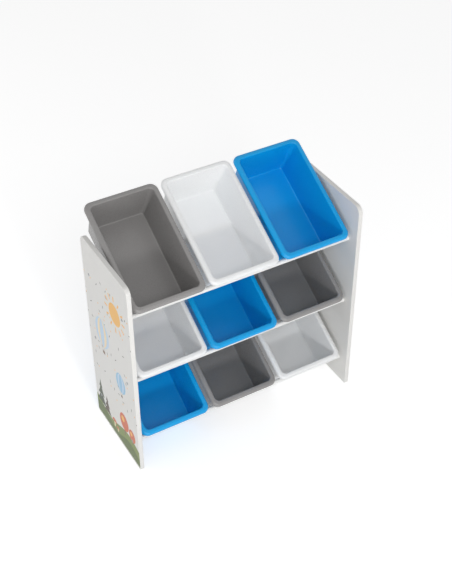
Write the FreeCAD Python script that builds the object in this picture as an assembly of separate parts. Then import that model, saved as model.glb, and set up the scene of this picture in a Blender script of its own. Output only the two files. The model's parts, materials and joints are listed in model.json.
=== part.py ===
import FreeCAD, Part
import math
import os

# Children's toy organizer: two side panels joined by six round rods, which carry three
# tiers of three loose plastic bins.  Each bin hangs tilted towards the user: its front wall
# leans on the tier's front rod and its floor lies on the tier's rear rod.
# Millimetres.  +X to the user's right, +Y to the back, +Z up.  The origin is the centre of
# the whole object's footprint, on the floor.

# ---- Driving dimensions -------------------------------------------------------------

cabinet_width = 640.0           # over the outer faces of the two side panels

panel_thickness = 12.0
panel_depth = 251.5
panel_rise = 101.0              # panel above the centre of the highest rear rod
panel_top_radius = 20.0         # the two upper corners of a panel, seen from the side
panel_foot_radius = 3.0         # the two lower corners
panel_edge_round = 1.5          # sanded edge all round

rod_diameter = 12.0
rod_wall = 1.0
front_rod_setback = 37.3        # rod centre behind the panel's front edge
rear_rod_setback = 33.0         # rod centre in front of the panel's back edge

insert_length = 25.0            # threaded insert pressed into each rod end
insert_clearance = 0.05         # radial, insert in tube
bolt_diameter = 5.0
bolt_head_diameter = 9.0        # countersunk, flush with the panel's outer face
bolt_engagement = 18.0          # bolt length inside the insert
bolt_socket_flats = 3.0
bolt_socket_depth = 1.8
bolt_hole_clearance = 0.2       # radial, bolt in panel
thread_clearance = 0.05         # radial, bolt in insert

bin_tilt = 30.0                 # degrees, rim plane lower at the front
bin_gap = 9.2                   # between neighbouring rims, and from rim to panel
bin_length = 300.0              # over the rim, along the slope
bin_depth = 112.5               # rim plane to the underside of the floor
bin_wall = 2.0
bin_draft = 4.7                 # degrees, the side and back walls lean in to the floor
bin_front_draft = 8.0           # degrees, the front wall leans in more
rim_overhang = 11.5             # rim edge outside the wall
rim_skirt = 8.0                 # height of the rim's turned-down edge
rim_corner_radius = 20.0
wall_corner_radius = 14.0       # outside of the walls, at the rim
foot_corner_radius = 9.0        # outside of the walls, at the floor
rim_edge_round = 7.5            # top outer edge of the rim
mouth_edge_round = 3.0          # top inner edge of the rim
floor_edge_round = 4.0          # inside, between the floor and the walls

front_rod_below_rim = 36.0      # front rod centre under the rim plane, square to it
tier_room = 62.0                # rim plane to the floor of the bin above, square to it
floor_room = 18.6               # lowest point of the lowest bins above the floor
rest_clearance = 0.3            # bin to the rods it lies on

tiers = ("bottom", "middle", "top")
columns = ("left", "centre", "right")

# ---- Worked-out sizes ---------------------------------------------------------------

inner_width = cabinet_width - 2 * panel_thickness
inner_face = inner_width / 2
outer_face = cabinet_width / 2
rod_radius = rod_diameter / 2
bin_width = (inner_width - (len(columns) + 1) * bin_gap) / len(columns)
bin_pitch = bin_width + bin_gap

tilt = math.radians(bin_tilt)
draft = math.radians(bin_draft)
front_draft = math.radians(bin_front_draft)
tier_spacing = (bin_depth + tier_room) / math.cos(tilt)
outer_floor_round = floor_edge_round + bin_wall


def slope_to_cabinet(along, above):
    """A bin's own (along the rim plane, above it) as a (back, up) step in the cabinet."""
    back = along * math.cos(tilt) - above * math.sin(tilt)
    up = along * math.sin(tilt) + above * math.cos(tilt)
    return back, up


# Front rod seen from the bin's front rim edge: it touches the drafted front wall.
front_wall_at_rod = rim_overhang + front_rod_below_rim * math.tan(front_draft)
front_rod_along = front_wall_at_rod - (rod_radius + rest_clearance) / math.cos(front_draft)
front_rod_step = slope_to_cabinet(front_rod_along, -front_rod_below_rim)

# Rounded lower edges of a bin's side outline, as (along, above) of the arcs' centres.
round_centre_depth = bin_depth - outer_floor_round


def round_centre_inset(lean):
    return (rim_overhang + round_centre_depth * math.tan(lean)
            + outer_floor_round / math.cos(lean))


lower_front_step = slope_to_cabinet(round_centre_inset(front_draft), -round_centre_depth)
lower_back_step = slope_to_cabinet(bin_length - round_centre_inset(draft),
                                   -round_centre_depth)

# Heights: the lowest bins clear the floor, and everything else follows from that.
lowest_rim_height = floor_room + outer_floor_round - lower_front_step[1]
lowest_front_rod_height = lowest_rim_height + front_rod_step[1]

# Depths, first counted from the panels' front edge.
rim_behind_front = front_rod_setback - front_rod_step[0]
rearmost = rim_behind_front + lower_back_step[0] + outer_floor_round
panel_front = -rearmost / 2
panel_back = panel_front + panel_depth
front_rod_y = panel_front + front_rod_setback
rear_rod_y = panel_back - rear_rod_setback
rim_front_y = panel_front + rim_behind_front

# The rear rod touches the underside of the bins' floors.
rear_rod_above = -(bin_depth + rest_clearance + rod_radius)
rear_rod_along = ((rear_rod_y - rim_front_y + rear_rod_above * math.sin(tilt))
                  / math.cos(tilt))
rear_rod_rise = slope_to_cabinet(rear_rod_along, rear_rod_above)[1]


def rim_height(tier):
    return lowest_rim_height + tier * tier_spacing


def front_rod_height(tier):
    return lowest_front_rod_height + tier * tier_spacing


def rear_rod_height(tier):
    return rim_height(tier) + rear_rod_rise


panel_height = rear_rod_height(len(tiers) - 1) + panel_rise


def rod_centres():
    """Every rod's name with the (y, z) of its axis."""
    centres = {}
    for tier, tier_name in enumerate(tiers):
        centres["front_rod_" + tier_name] = (front_rod_y, front_rod_height(tier))
        centres["rear_rod_" + tier_name] = (rear_rod_y, rear_rod_height(tier))
    return centres


# ---- Side panels --------------------------------------------------------------------

def panel_outline():
    """Closed side outline at x = 0, with every corner rounded."""
    front, back = panel_front, panel_back
    foot, top = panel_foot_radius, panel_top_radius
    slant = 1 - math.sqrt(0.5)
    corners = (
        (front, 0.0, 1, 1, foot),
        (back, 0.0, -1, 1, foot),
        (back, panel_height, -1, -1, top),
        (front, panel_height, 1, -1, top),
    )
    edges = []
    last = None
    first = None
    for number, (y, z, into_y, into_z, radius) in enumerate(corners):
        on_side = FreeCAD.Vector(0, y, z + into_z * radius)
        on_end = FreeCAD.Vector(0, y + into_y * radius, z)
        middle = FreeCAD.Vector(0, y + into_y * radius * slant, z + into_z * radius * slant)
        start, end = (on_side, on_end) if number % 2 == 0 else (on_end, on_side)
        if last is None:
            first = start
        else:
            edges.append(Part.makeLine(last, start))
        edges.append(Part.Arc(start, middle, end).toShape())
        last = end
    edges.append(Part.makeLine(last, first))
    return Part.Wire(edges)


def cone_from_face(face_x, outward, y, z, face_radius, tip_radius):
    """A 90 degree cone that starts on a panel's outer face and narrows inwards."""
    inward = FreeCAD.Vector(-outward, 0, 0)
    base = FreeCAD.Vector(face_x, y, z)
    return Part.makeCone(face_radius, tip_radius, face_radius - tip_radius, base, inward)


def side_panel(outward):
    """One panel; outward is -1 for the left one and 1 for the right one."""
    blank = Part.Face(panel_outline()).extrude(FreeCAD.Vector(panel_thickness, 0, 0))
    blank.translate(FreeCAD.Vector(inner_face if outward > 0 else -outer_face, 0, 0))
    rim_edges = [edge for edge in blank.Edges
                 if abs(edge.BoundBox.XMax - edge.BoundBox.XMin) < 0.001]
    panel = blank.makeFillet(panel_edge_round, rim_edges)
    hole_radius = bolt_diameter / 2 + bolt_hole_clearance
    sink_radius = bolt_head_diameter / 2 + bolt_hole_clearance
    face_x = outward * outer_face
    for y, z in rod_centres().values():
        start = FreeCAD.Vector(face_x, y, z)
        inward = FreeCAD.Vector(-outward, 0, 0)
        hole = Part.makeCylinder(hole_radius, panel_thickness, start, inward)
        sink = cone_from_face(face_x, outward, y, z, sink_radius, hole_radius)
        panel = panel.cut(hole.fuse(sink))
    return panel


# ---- Rods and their fixings ---------------------------------------------------------

def rod_tube(y, z):
    start = FreeCAD.Vector(-inner_face, y, z)
    along = FreeCAD.Vector(1, 0, 0)
    outside = Part.makeCylinder(rod_radius, inner_width, start, along)
    bore = Part.makeCylinder(rod_radius - rod_wall, inner_width, start, along)
    return outside.cut(bore)


def rod_insert(outward, y, z):
    start = FreeCAD.Vector(outward * inner_face, y, z)
    inward = FreeCAD.Vector(-outward, 0, 0)
    body = Part.makeCylinder(rod_radius - rod_wall - insert_clearance, insert_length,
                             start, inward)
    thread = Part.makeCylinder(bolt_diameter / 2 + thread_clearance, insert_length,
                               start, inward)
    return body.cut(thread)


def hex_socket(outward, y, z):
    corner = bolt_socket_flats / math.sqrt(3)
    points = []
    for turn in range(7):
        angle = math.radians(60 * turn)
        points.append(FreeCAD.Vector(outward * outer_face, y + corner * math.cos(angle),
                                     z + corner * math.sin(angle)))
    face = Part.Face(Part.makePolygon(points))
    return face.extrude(FreeCAD.Vector(-outward * bolt_socket_depth, 0, 0))


def rod_bolt(outward, y, z):
    face_x = outward * outer_face
    shank_radius = bolt_diameter / 2
    start = FreeCAD.Vector(face_x, y, z)
    inward = FreeCAD.Vector(-outward, 0, 0)
    shank = Part.makeCylinder(shank_radius, panel_thickness + bolt_engagement, start, inward)
    head = cone_from_face(face_x, outward, y, z, bolt_head_diameter / 2, shank_radius)
    return shank.fuse(head).cut(hex_socket(outward, y, z)).removeSplitter()


def at_every_rod(make_piece, outward):
    """The same small piece at the same end of all rods, as one group."""
    return Part.makeCompound([make_piece(outward, y, z) for y, z in rod_centres().values()])


# ---- Bins ---------------------------------------------------------------------------

def rounded_rectangle(inset, front_inset, above, radius):
    """Outline of the rim drawn in by the insets, at a height above the rim plane."""
    half = bin_width / 2 - inset
    near, far = front_inset, bin_length - inset
    slant = 1 - math.sqrt(0.5)
    corners = ((half, near, -1, 1), (half, far, -1, -1), (-half, far, 1, -1), (-half, near, 1, 1))
    edges = []
    last = None
    first = None
    for number, (x, y, into_x, into_y) in enumerate(corners):
        on_side = FreeCAD.Vector(x, y + into_y * radius, above)
        on_end = FreeCAD.Vector(x + into_x * radius, y, above)
        middle = FreeCAD.Vector(x + into_x * radius * slant, y + into_y * radius * slant, above)
        start, end = (on_end, on_side) if number % 2 == 0 else (on_side, on_end)
        if last is None:
            first = start
        else:
            edges.append(Part.makeLine(last, start))
        edges.append(Part.Arc(start, middle, end).toShape())
        last = end
    edges.append(Part.makeLine(last, first))
    return Part.Wire(edges)


def drafted_block(inwards):
    """Tapered solid from the rim plane to the floor, that much inside the walls' outside."""
    depth = bin_depth - inwards
    upper_inset = rim_overhang + inwards
    lower_inset = upper_inset + depth * math.tan(draft)
    lower_front_inset = upper_inset + depth * math.tan(front_draft)
    upper = rounded_rectangle(upper_inset, upper_inset, 0.0, wall_corner_radius - inwards)
    lower = rounded_rectangle(lower_inset, lower_front_inset, -depth,
                              foot_corner_radius - inwards)
    block = Part.makeLoft([upper, lower], True, True)
    foot_edges = [edge for edge in block.Edges if edge.BoundBox.ZMax < -depth + 0.001]
    return block.makeFillet(outer_floor_round - inwards, foot_edges)


def rim_block(inwards):
    """Block the height of the rim's skirt, that much inside the rim's outside."""
    outline = rounded_rectangle(inwards, inwards, -inwards, rim_corner_radius - inwards)
    return Part.Face(outline).extrude(FreeCAD.Vector(0, 0, -rim_skirt))


def rim_plate():
    """Flat rim with its turned-down skirt, open underneath and of one wall all round."""
    hollow = rim_block(bin_wall)
    upper_edges = [edge for edge in hollow.Edges if edge.BoundBox.ZMin > -bin_wall - 0.001]
    hollow = hollow.makeFillet(rim_edge_round - bin_wall, upper_edges)
    return rim_block(0.0).cut(hollow)


def rim_face(shell):
    """The flat ring on top of the rim."""
    rings = [face for face in shell.Faces
             if face.BoundBox.ZMin > -0.001 and len(face.Wires) == 2]
    return rings[0]


def bin_shell():
    """One bin in its own frame: origin at the middle of its front rim edge."""
    shell = drafted_block(0.0).fuse(rim_plate()).cut(drafted_block(bin_wall))
    shell = shell.removeSplitter()
    outer_codes = [edge.hashCode() for edge in rim_face(shell).OuterWire.Edges]
    mouth_edges = [edge for edge in rim_face(shell).Edges
                   if edge.hashCode() not in outer_codes]
    shell = shell.makeFillet(mouth_edge_round, mouth_edges)
    return shell.makeFillet(rim_edge_round, rim_face(shell).OuterWire.Edges)


def placed_bin(shell, tier, column):
    centre_x = (column - (len(columns) - 1) / 2) * bin_pitch
    where = FreeCAD.Vector(centre_x, rim_front_y, rim_height(tier))
    lean = FreeCAD.Rotation(FreeCAD.Vector(1, 0, 0), bin_tilt)
    return shell.transformed(FreeCAD.Placement(where, lean).toMatrix())


# ---- Whole object -------------------------------------------------------------------

def all_pieces():
    pieces = {
        "left_side_panel": side_panel(-1),
        "right_side_panel": side_panel(1),
    }
    for name, (y, z) in rod_centres().items():
        pieces[name] = rod_tube(y, z)
    for side_name, outward in (("left", -1), ("right", 1)):
        pieces["rod_inserts_" + side_name] = at_every_rod(rod_insert, outward)
        pieces["rod_bolts_" + side_name] = at_every_rod(rod_bolt, outward)
    shell = bin_shell()
    for tier, tier_name in enumerate(tiers):
        for column, column_name in enumerate(columns):
            name = "bin_" + tier_name + "_" + column_name
            pieces[name] = placed_bin(shell, tier, column)
    return pieces


def main():
    os.makedirs("parts", exist_ok=True)
    for name, shape in all_pieces().items():
        shape.exportStep("parts/" + name + ".step")


main()
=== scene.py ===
"""Looks of a children's toy organizer: printed white panels, white rods, tilted plastic bins."""
import json
import math

import bpy
from mathutils import Matrix, Vector


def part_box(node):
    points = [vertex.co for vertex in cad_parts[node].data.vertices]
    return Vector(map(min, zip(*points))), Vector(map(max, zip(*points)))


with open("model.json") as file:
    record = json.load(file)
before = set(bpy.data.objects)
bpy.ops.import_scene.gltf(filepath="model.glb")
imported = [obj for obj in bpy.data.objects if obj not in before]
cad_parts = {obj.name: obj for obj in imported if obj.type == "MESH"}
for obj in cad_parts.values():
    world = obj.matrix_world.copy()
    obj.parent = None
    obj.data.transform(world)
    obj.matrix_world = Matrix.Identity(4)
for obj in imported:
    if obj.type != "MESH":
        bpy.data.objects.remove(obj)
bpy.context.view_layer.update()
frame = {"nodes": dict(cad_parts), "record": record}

MM = 0.001

# ---- Camera --------------------------------------------------------------------------

CAMERA_PLACE = (-1.04257, -1.86889, 2.10442)    # metres, in the row frame
CAMERA_YAW = -29.647                            # degrees; 0 looks along +Y
CAMERA_PITCH = 39.411                           # degrees downwards
CAMERA_ROLL = -0.407
IMAGE_HEIGHT = 584                              # pixels, the frame's longer side
FOCAL_PIXELS = 1086.50
SENSOR = 36.0                                   # millimetres
VIEW_DEPTH = 50.0                               # metres


def add_camera():
    yaw, pitch, roll = (math.radians(v) for v in (CAMERA_YAW, CAMERA_PITCH, CAMERA_ROLL))
    back = Vector((math.sin(yaw) * math.cos(pitch), -math.cos(yaw) * math.cos(pitch),
                   math.sin(pitch)))
    level_right = (-back).cross(Vector((0, 0, 1))).normalized()
    level_up = level_right.cross(-back)
    right = math.cos(roll) * level_right + math.sin(roll) * level_up
    up = -math.sin(roll) * level_right + math.cos(roll) * level_up
    data = bpy.data.cameras.new("camera")
    data.sensor_width = SENSOR
    data.lens = SENSOR * FOCAL_PIXELS / IMAGE_HEIGHT
    data.clip_end = VIEW_DEPTH
    camera = bpy.data.objects.new("camera", data)
    turn = Matrix((right, up, back)).transposed().to_4x4()
    camera.matrix_world = Matrix.Translation(CAMERA_PLACE) @ turn
    bpy.context.scene.collection.objects.link(camera)
    bpy.context.scene.camera = camera


# ---- Light and floor -----------------------------------------------------------------

# name: (azimuth of the lamp seen from the object, elevation, distance, side, watts)
# Azimuth 0 is the object's front (-Y), 90 its right (+X).
LAMPS = {
    "key": (-12.0, 7.5, 3.0, 0.25, 21.0),
    "front_left": (-20.0, 40.0, 3.0, 0.8, 15.4),
    "left": (-45.0, 0.0, 3.0, 0.8, 8.6),
    "back_left": (-135.0, 5.0, 3.0, 1.6, 12.0),
}
LAMP_AIM = Vector((0.0, 0.0, 0.35))
WORLD_STRENGTH = 0.48
WHITE = (1, 1, 1, 1)


def add_lamps():
    for name, (azimuth, elevation, distance, side, watts) in LAMPS.items():
        turn, lift = math.radians(azimuth), math.radians(elevation)
        away = Vector((math.sin(turn) * math.cos(lift), -math.cos(turn) * math.cos(lift),
                       math.sin(lift)))
        data = bpy.data.lights.new(name, "AREA")
        data.shape = "SQUARE"
        data.size = side
        data.energy = watts
        lamp = bpy.data.objects.new(name, data)
        lamp.location = LAMP_AIM + away * distance
        lamp.rotation_euler = away.to_track_quat("Z", "Y").to_euler()
        bpy.context.scene.collection.objects.link(lamp)


def seen_directly(tree):
    """1 for camera, glossy and transmission rays, 0 for the rays that light the object."""
    path = tree.nodes.new("ShaderNodeLightPath")
    first = tree.nodes.new("ShaderNodeMath")
    first.operation = "MAXIMUM"
    tree.links.new(path.outputs["Is Camera Ray"], first.inputs[0])
    tree.links.new(path.outputs["Is Glossy Ray"], first.inputs[1])
    both = tree.nodes.new("ShaderNodeMath")
    both.operation = "MAXIMUM"
    tree.links.new(first.outputs[0], both.inputs[0])
    tree.links.new(path.outputs["Is Transmission Ray"], both.inputs[1])
    return both.outputs[0]


def add_world():
    world = bpy.data.worlds.new("studio")
    bpy.context.scene.world = world
    world.use_nodes = True
    tree = world.node_tree
    tree.nodes.clear()
    lighting = tree.nodes.new("ShaderNodeBackground")
    lighting.inputs["Color"].default_value = WHITE
    lighting.inputs["Strength"].default_value = WORLD_STRENGTH
    white = tree.nodes.new("ShaderNodeBackground")
    white.inputs["Color"].default_value = WHITE
    white.inputs["Strength"].default_value = 1.0
    mix = tree.nodes.new("ShaderNodeMixShader")
    out = tree.nodes.new("ShaderNodeOutputWorld")
    tree.links.new(seen_directly(tree), mix.inputs[0])
    tree.links.new(lighting.outputs[0], mix.inputs[1])
    tree.links.new(white.outputs[0], mix.inputs[2])
    tree.links.new(mix.outputs[0], out.inputs["Surface"])


FLOOR_SIZE = 14.0
FLOOR_COLOUR = (0.9, 0.9, 0.9, 1)
FLOOR_GLOW = 0.47               # share of the seen floor that is plain white


def add_floor():
    mesh = bpy.data.meshes.new("floor")
    half = FLOOR_SIZE / 2
    mesh.from_pydata([(-half, -half, 0), (half, -half, 0), (half, half, 0), (-half, half, 0)],
                     [], [(0, 1, 2, 3)])
    floor = bpy.data.objects.new("floor", mesh)
    bpy.context.scene.collection.objects.link(floor)
    material = bpy.data.materials.new("floor")
    material.use_nodes = True
    tree = material.node_tree
    tree.nodes.clear()
    diffuse = tree.nodes.new("ShaderNodeBsdfDiffuse")
    diffuse.inputs["Color"].default_value = FLOOR_COLOUR
    glow = tree.nodes.new("ShaderNodeEmission")
    glow.inputs["Color"].default_value = WHITE
    share = tree.nodes.new("ShaderNodeMath")
    share.operation = "MULTIPLY"
    share.inputs[1].default_value = FLOOR_GLOW
    tree.links.new(seen_directly(tree), share.inputs[0])
    tree.links.new(share.outputs[0], glow.inputs["Strength"])
    both = tree.nodes.new("ShaderNodeAddShader")
    out = tree.nodes.new("ShaderNodeOutputMaterial")
    tree.links.new(diffuse.outputs[0], both.inputs[0])
    tree.links.new(glow.outputs[0], both.inputs[1])
    tree.links.new(both.outputs[0], out.inputs["Surface"])
    mesh.materials.append(material)


# ---- Materials -----------------------------------------------------------------------

# Sockets of a Mix node that is set to colours
MIX_SHARE, MIX_FIRST, MIX_SECOND, MIX_RESULT = 0, 6, 7, 2
NOISE_LOW, NOISE_HIGH = 0.3, 0.7        # where nearly all of a noise's values lie


def srgb(red, green, blue):
    """A display colour, 0 to 255, as the linear colour that shaders take."""
    linear = []
    for value in (red, green, blue):
        share = value / 255
        linear.append(share / 12.92 if share <= 0.04045 else ((share + 0.055) / 1.055) ** 2.4)
    return (*linear, 1.0)


class Shader:
    """A material's node tree with a Principled surface, and short calls for its nodes."""

    def __init__(self, name):
        self.material = bpy.data.materials.new(name)
        self.material.use_nodes = True
        self.tree = self.material.node_tree
        self.surface = self.tree.nodes["Principled BSDF"]
        self.where = self.tree.nodes.new("ShaderNodeTexCoord").outputs["Object"]

    def link(self, start, end):
        self.tree.links.new(start, end)

    def feed(self, value, socket):
        """A number, colour or vector set on a socket, or another node's output linked to it."""
        if isinstance(value, bpy.types.NodeSocket):
            self.link(value, socket)
        else:
            socket.default_value = value

    def math(self, operation, first, second=0.0, third=0.0):
        node = self.tree.nodes.new("ShaderNodeMath")
        node.operation = operation
        for value, socket in zip((first, second, third), node.inputs):
            self.feed(value, socket)
        return node.outputs[0]

    def vector(self, operation, first, second=(0, 0, 0), output=0):
        node = self.tree.nodes.new("ShaderNodeVectorMath")
        node.operation = operation
        self.feed(first, node.inputs[0])
        self.feed(second, node.inputs[1])
        return node.outputs[output]

    def noise(self, scale, detail=2.0, stretch=(1, 1, 1)):
        node = self.tree.nodes.new("ShaderNodeTexNoise")
        node.inputs["Scale"].default_value = scale
        node.inputs["Detail"].default_value = detail
        self.link(self.vector("MULTIPLY", self.where, stretch), node.inputs["Vector"])
        return node.outputs["Fac"]

    def spread(self, value, low, high, new_low, new_high):
        """value, from low to high, moved in proportion to new_low to new_high."""
        node = self.tree.nodes.new("ShaderNodeMapRange")
        for index, number in enumerate((value, low, high, new_low, new_high)):
            self.feed(number, node.inputs[index])
        return node.outputs[0]

    def vary_roughness(self, noise, low, high):
        self.set(Roughness=self.spread(noise, NOISE_LOW, NOISE_HIGH, low, high))

    def mix(self, share, first, second):
        node = self.tree.nodes.new("ShaderNodeMix")
        node.data_type = "RGBA"
        self.feed(share, node.inputs[MIX_SHARE])
        self.feed(first, node.inputs[MIX_FIRST])
        self.feed(second, node.inputs[MIX_SECOND])
        return node.outputs[MIX_RESULT]

    def bump(self, height, depth, strength=1.0):
        node = self.tree.nodes.new("ShaderNodeBump")
        node.inputs["Strength"].default_value = strength
        node.inputs["Distance"].default_value = depth
        self.link(height, node.inputs["Height"])
        self.link(node.outputs["Normal"], self.surface.inputs["Normal"])

    def set(self, **values):
        for name, value in values.items():
            self.feed(value, self.surface.inputs[name.replace("_", " ")])


# ---- Print on the left panel ---------------------------------------------------------
# Millimetres on the panel's outer face: "along" from its back edge to its front edge, "up"
# from its foot.

INK_EDGE = 0.5                  # width over which a motif's edge fades
PRINT_DEPTH = 0.4               # how far behind the outer face a point may lie and be printed
BORDER = 9.0                    # bare strip along the foot
SKY_LOW, SKY_HIGH = 150.0, 520.0        # where the scattered strokes are
SCATTER_JITTER = 0.75           # 0 puts the strokes on a grid
SUN_RAYS, RAY_SHARE = 12, 0.22
SPOKE_EDGE = 0.1                # width over which a ray's side fades, as a share of the wave
BALLOON_LINE = 0.5              # half the width of the lines that hold the basket

SUN = srgb(247, 190, 98)
PALE_BLUE = srgb(196, 218, 240)
BLUE = srgb(152, 199, 230)
PEN = srgb(96, 90, 85)
FAR_HILL = srgb(120, 137, 66)
NEAR_HILL = srgb(84, 102, 40)
FIR = srgb(58, 70, 44)
FIR_SHADE = srgb(78, 62, 46)
RUST = srgb(212, 104, 66)
BARK = srgb(124, 91, 73)
CREAM = srgb(244, 226, 190)

# Spacing of the strokes, their (half width, half length), the share of places that have one
STROKES = ((25.0, (1.2, 5.2), 0.30, PEN), (34.0, (2.3, 2.3), 0.30, SUN))
SUN_PLACE = (172.0, 462.0, 31.0)        # along, up, radius
# along, up, radius, colour, stripe
BALLOONS = ((82.0, 338.0, 38.0, PALE_BLUE, CREAM), (172.0, 240.0, 26.0, BLUE, PALE_BLUE))
# height, swing, length of a wave, phase
FAR_LINE = (62.0, 16.0, 235.0, 2.6)
NEAR_LINE = (38.0, 13.0, 168.0, 0.4)
# along, foot, height, half width, colour
FIRS = ((34.0, 56.0, 88.0, 24.0, FIR), (68.0, 48.0, 62.0, 18.0, FIR_SHADE))
FIR_LAYERS = 3
ROUND_TREES = ((172.0, 58.0, 46.0, 25.0), (216.0, 62.0, 30.0, 18.0))    # along, foot, height, radius
MUSHROOMS = ((108.0, 34.0, 22.0), (126.0, 28.0, 14.0))                  # along, foot, size


class Print:
    """Flat motifs painted one over another, on one face of a panel."""

    def __init__(self, shader, paper):
        self.shader = shader
        self.colour = paper
        low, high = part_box("left_side_panel")
        split = shader.tree.nodes.new("ShaderNodeSeparateXYZ")
        shader.link(shader.where, split.inputs[0])
        x, y, z = split.outputs
        self.along = shader.math("MULTIPLY", shader.math("SUBTRACT", high[1], y), 1 / MM)
        self.up = shader.math("MULTIPLY", shader.math("SUBTRACT", z, low[2]), 1 / MM)
        self.face = shader.math("LESS_THAN", x, low[0] + PRINT_DEPTH * MM)

    def paint(self, shape, colour):
        share = self.shader.math("MULTIPLY", shape, self.face)
        self.colour = self.shader.mix(share, self.colour, colour)

    def inside(self, distance):
        """1 where the distance is negative, 0 where it is positive, with a soft step."""
        return self.shader.spread(distance, -INK_EDGE / 2, INK_EDGE / 2, 1.0, 0.0)

    def both(self, *shapes):
        result = shapes[0]
        for shape in shapes[1:]:
            result = self.shader.math("MINIMUM", result, shape)
        return result

    def from_point(self, along, up):
        math_node = self.shader.math
        return math_node("SUBTRACT", self.along, along), math_node("SUBTRACT", self.up, up)

    def radial(self, along, up, width=1.0, height=1.0):
        """Distance from a point, with the two directions divided by width and height."""
        math_node = self.shader.math
        across, above = self.from_point(along, up)
        across = math_node("DIVIDE", across, width)
        above = math_node("DIVIDE", above, height)
        return math_node("SQRT", math_node("ADD", math_node("MULTIPLY", across, across),
                                           math_node("MULTIPLY", above, above)))

    def oval(self, along, up, width, height):
        over = self.shader.math("SUBTRACT", self.radial(along, up, width, height), 1.0)
        return self.inside(self.shader.math("MULTIPLY", over, min(width, height)))

    def ring(self, along, up, radius, line):
        off = self.shader.math("SUBTRACT", self.radial(along, up), radius)
        off = self.shader.math("ABSOLUTE", off)
        return self.inside(self.shader.math("SUBTRACT", off, line / 2))

    def spokes(self, along, up, count, share):
        """count wedges round a point that fill that share of the turn."""
        across, above = self.from_point(along, up)
        turn = self.shader.math("ARCTAN2", above, across)
        wave = self.shader.math("COSINE", self.shader.math("MULTIPLY", turn, count))
        edge = math.cos(math.pi * share)
        return self.shader.spread(wave, edge - SPOKE_EDGE, edge + SPOKE_EDGE, 0.0, 1.0)

    def bar(self, along, up, half_length, half_width, angle=0.0):
        """A straight bar about its middle, turned by angle degrees from lying."""
        math_node = self.shader.math
        across, above = self.from_point(along, up)
        cos, sin = math.cos(math.radians(angle)), math.sin(math.radians(angle))
        run = math_node("ADD", math_node("MULTIPLY", across, cos),
                        math_node("MULTIPLY", above, sin))
        side = math_node("SUBTRACT", math_node("MULTIPLY", above, cos),
                         math_node("MULTIPLY", across, sin))
        past_end = math_node("SUBTRACT", math_node("ABSOLUTE", run), half_length)
        past_side = math_node("SUBTRACT", math_node("ABSOLUTE", side), half_width)
        return self.inside(math_node("MAXIMUM", past_end, past_side))

    def ground(self, height, swing, wave_length, phase):
        """Everything below a rolling line."""
        math_node = self.shader.math
        wave = math_node("SINE", math_node("MULTIPLY_ADD", self.along,
                                           2 * math.pi / wave_length, phase))
        line = math_node("MULTIPLY_ADD", wave, swing, height)
        return self.inside(math_node("SUBTRACT", self.up, line))

    def fir(self, along, foot, height, half_width, layers):
        """A tree of stacked, flaring layers."""
        math_node = self.shader.math
        across, above = self.from_point(along, foot)
        share = math_node("DIVIDE", above, height)
        flare = math_node("FRACT", math_node("MULTIPLY", share, layers))
        reach = math_node("MULTIPLY", math_node("SUBTRACT", 1.0, share), half_width)
        reach = math_node("MULTIPLY", reach, self.shader.spread(flare, 0.0, 1.0, 1.15, 0.55))
        sides = self.inside(math_node("SUBTRACT", math_node("ABSOLUTE", across), reach))
        return self.both(sides, math_node("GREATER_THAN", above, 0.0),
                         math_node("LESS_THAN", share, 1.0))


def paint_sky(sheet):
    """Scattered pen strokes and dots, a sun, and two balloons."""
    for strokes in STROKES:
        scatter(sheet, *strokes)
    paint_sun(sheet, *SUN_PLACE)
    for balloon in BALLOONS:
        paint_balloon(sheet, *balloon)


def scatter(sheet, spacing, size, share, colour):
    """Small strokes at chance places and angles in the sky; size is (half width, half length)."""
    shader = sheet.shader
    place = shader.tree.nodes.new("ShaderNodeCombineXYZ")
    shader.link(sheet.along, place.inputs[0])
    shader.link(sheet.up, place.inputs[1])
    cells = shader.tree.nodes.new("ShaderNodeTexVoronoi")
    cells.voronoi_dimensions = "2D"
    cells.inputs["Scale"].default_value = 1 / spacing
    cells.inputs["Randomness"].default_value = SCATTER_JITTER
    shader.link(place.outputs[0], cells.inputs["Vector"])
    chance = shader.tree.nodes.new("ShaderNodeSeparateColor")
    shader.link(cells.outputs["Color"], chance.inputs[0])
    off = shader.vector("SUBTRACT", place.outputs[0], cells.outputs["Position"])
    turned = shader.tree.nodes.new("ShaderNodeVectorRotate")
    turned.rotation_type = "Z_AXIS"
    shader.link(off, turned.inputs["Vector"])
    shader.link(shader.math("MULTIPLY", chance.outputs[1], 2 * math.pi), turned.inputs["Angle"])
    half_width, half_length = size
    stretch = (1 / half_width, 1 / half_length, 0.0)
    away = shader.vector("LENGTH", shader.vector("MULTIPLY", turned.outputs[0], stretch), output=1)
    stroke = sheet.inside(shader.math("MULTIPLY", shader.math("SUBTRACT", away, 1.0), half_width))
    chosen = shader.math("LESS_THAN", chance.outputs[0], share)
    sky = sheet.both(shader.math("GREATER_THAN", sheet.up, SKY_LOW),
                     shader.math("LESS_THAN", sheet.up, SKY_HIGH))
    sheet.paint(sheet.both(stroke, chosen, sky), colour)


def paint_sun(sheet, along, up, radius):
    rays = sheet.both(sheet.ring(along, up, radius * 1.5, radius * 0.5),
                      sheet.spokes(along, up, SUN_RAYS, RAY_SHARE))
    sheet.paint(rays, SUN)
    sheet.paint(sheet.oval(along, up, radius, radius), SUN)


def paint_balloon(sheet, along, up, radius, colour, stripe):
    """An envelope with a lighter belly, two lines and a basket."""
    height = radius * 1.2
    basket_up = up - height * 1.42
    for side in (-1, 1):
        sheet.paint(sheet.bar(along + side * radius * 0.16, up - height * 1.12,
                              height * 0.24, BALLOON_LINE, 90 - side * 14), PEN)
    sheet.paint(sheet.bar(along, basket_up, radius * 0.17, radius * 0.13), BARK)
    sheet.paint(sheet.oval(along, up, radius, height), colour)
    sheet.paint(sheet.oval(along, up, radius * 0.66, height), stripe)
    sheet.paint(sheet.oval(along, up, radius * 0.30, height), colour)


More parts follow.
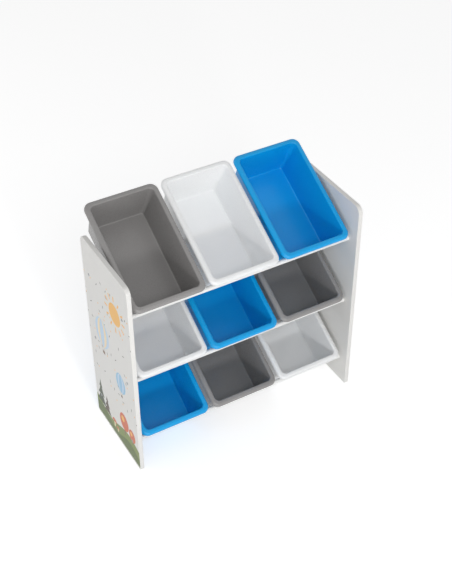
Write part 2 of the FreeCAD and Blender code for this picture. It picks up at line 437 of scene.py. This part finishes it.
def paint_round_tree(sheet, along, foot, height, radius):
    sheet.paint(sheet.bar(along, foot + height / 2, height / 2, radius * 0.11, 90), BARK)
    sheet.paint(sheet.oval(along, foot + height, radius, radius * 1.15), RUST)
    sheet.paint(sheet.oval(along - radius * 0.25, foot + height + radius * 0.3,
                           radius * 0.35, radius * 0.4), SUN)


def paint_mushroom(sheet, along, foot, size):
    sheet.paint(sheet.bar(along, foot + size * 0.4, size * 0.45, size * 0.16, 90), CREAM)
    cap = sheet.both(sheet.oval(along, foot + size * 0.7, size * 0.62, size * 0.55),
                     sheet.shader.math("GREATER_THAN", sheet.up, foot + size * 0.7))
    sheet.paint(cap, RUST)


def paint_hills(sheet):
    margin = sheet.shader.math("GREATER_THAN", sheet.up, BORDER)
    sheet.paint(sheet.both(sheet.ground(*FAR_LINE), margin), FAR_HILL)
    for *place, colour in FIRS:
        sheet.paint(sheet.fir(*place, FIR_LAYERS), colour)
    for tree in ROUND_TREES:
        paint_round_tree(sheet, *tree)
    sheet.paint(sheet.both(sheet.ground(*NEAR_LINE), margin), NEAR_HILL)
    for mushroom in MUSHROOMS:
        paint_mushroom(sheet, *mushroom)


def landscape(shader, paper):
    sheet = Print(shader, paper)
    paint_sky(sheet)
    paint_hills(sheet)
    return sheet.colour


# ---- Finishes -----------------------------------------------------------------------

SCATTER_REACH = 4.5 * MM        # how far light spreads inside the white plastic
PLASTIC_IOR = 1.49
ROUGHNESS_SWING = 0.05


def plastic(name, colour, deep, roughness, translucency, gloss=0.5):
    """Injection-moulded polypropylene: satin, finely eroded, slightly cloudy in colour."""
    shader = Shader(name)
    cloud = shader.noise(9.0, 3.0)
    shader.set(Base_Color=shader.mix(shader.spread(cloud, 0.35, 0.65, 0.0, 1.0), colour, deep))
    grain = shader.noise(900.0, 2.0)
    shader.vary_roughness(grain, roughness - ROUGHNESS_SWING, roughness + ROUGHNESS_SWING)
    shader.surface.inputs["IOR"].default_value = PLASTIC_IOR
    shader.surface.inputs["Specular IOR Level"].default_value = gloss
    if translucency:
        shader.surface.inputs["Subsurface Weight"].default_value = translucency
        shader.surface.inputs["Subsurface Radius"].default_value = (1.0, 1.0, 1.0)
        shader.surface.inputs["Subsurface Scale"].default_value = SCATTER_REACH
    flow = shader.noise(14.0, 1.0, (1.0, 0.4, 0.4))
    shader.bump(shader.math("ADD", shader.math("MULTIPLY", grain, 0.15), flow), 0.12 * MM, 0.5)
    return shader.material


def board_finish(shader, colour):
    """Laminated board: a satin face with a faint pressed texture."""
    shader.set(Base_Color=colour)
    pores = shader.noise(700.0, 3.0, (1.0, 1.0, 0.35))
    shader.vary_roughness(pores, 0.36, 0.46)
    shader.bump(pores, 0.03 * MM, 0.12)


def board_white(shader):
    return shader.mix(shader.noise(40.0, 4.0), srgb(232, 231, 228), srgb(228, 227, 224))


def board(name):
    shader = Shader(name)
    board_finish(shader, board_white(shader))
    return shader.material


def printed_board(name):
    """The same board with a landscape printed on its outer face."""
    shader = Shader(name)
    board_finish(shader, landscape(shader, board_white(shader)))
    return shader.material


def powder_coat(name):
    shader = Shader(name)
    orange_peel = shader.noise(420.0, 2.0)
    shader.set(Base_Color=shader.mix(orange_peel, srgb(246, 246, 244), srgb(241, 241, 240)))
    shader.vary_roughness(orange_peel, 0.30, 0.38)
    shader.bump(orange_peel, 0.06 * MM, 0.5)
    return shader.material


def zinc(name):
    shader = Shader(name)
    grain = shader.noise(1500.0, 2.0)
    shader.set(Base_Color=shader.mix(grain, srgb(150, 152, 155), srgb(176, 178, 180)))
    shader.surface.inputs["Metallic"].default_value = 1.0
    shader.vary_roughness(grain, 0.30, 0.45)
    return shader.material


def nylon(name):
    shader = Shader(name)
    cloud = shader.noise(300.0, 2.0)
    shader.set(Base_Color=shader.mix(cloud, srgb(222, 220, 212), srgb(214, 212, 204)))
    shader.vary_roughness(cloud, 0.45, 0.6)
    return shader.material


def make_materials():
    return {
        "panel_white": board("panel_white"),
        "panel_printed": printed_board("panel_printed"),
        "rod_white": powder_coat("rod_white"),
        "insert_nylon": nylon("insert_nylon"),
        "bolt_zinc": zinc("bolt_zinc"),
        "bin_gray": plastic("bin_gray", srgb(147, 145, 144), srgb(142, 140, 139), 0.28, 0.0),
        "bin_white": plastic("bin_white", srgb(248, 249, 250), srgb(245, 247, 248), 0.30, 0.5),
        "bin_blue": plastic("bin_blue", srgb(7, 165, 232), srgb(5, 160, 228), 0.30, 0.0, 0.4),
    }


def dress_nodes(materials):
    """Each CAD node gets the finish of its own slot; the left panel's has the print."""
    for entry in frame["record"]["subparts"]:
        finish = entry["material_slot"]
        if entry["node"] == "left_side_panel":
            finish = "panel_printed"
        mesh = frame["nodes"][entry["node"]].data
        mesh.materials.clear()
        mesh.materials.append(materials[finish])


# ---- Everything together -------------------------------------------------------------

add_camera()
add_world()
add_floor()
add_lamps()
dress_nodes(make_materials())

scene = bpy.context.scene
scene.view_settings.view_transform = "Standard"
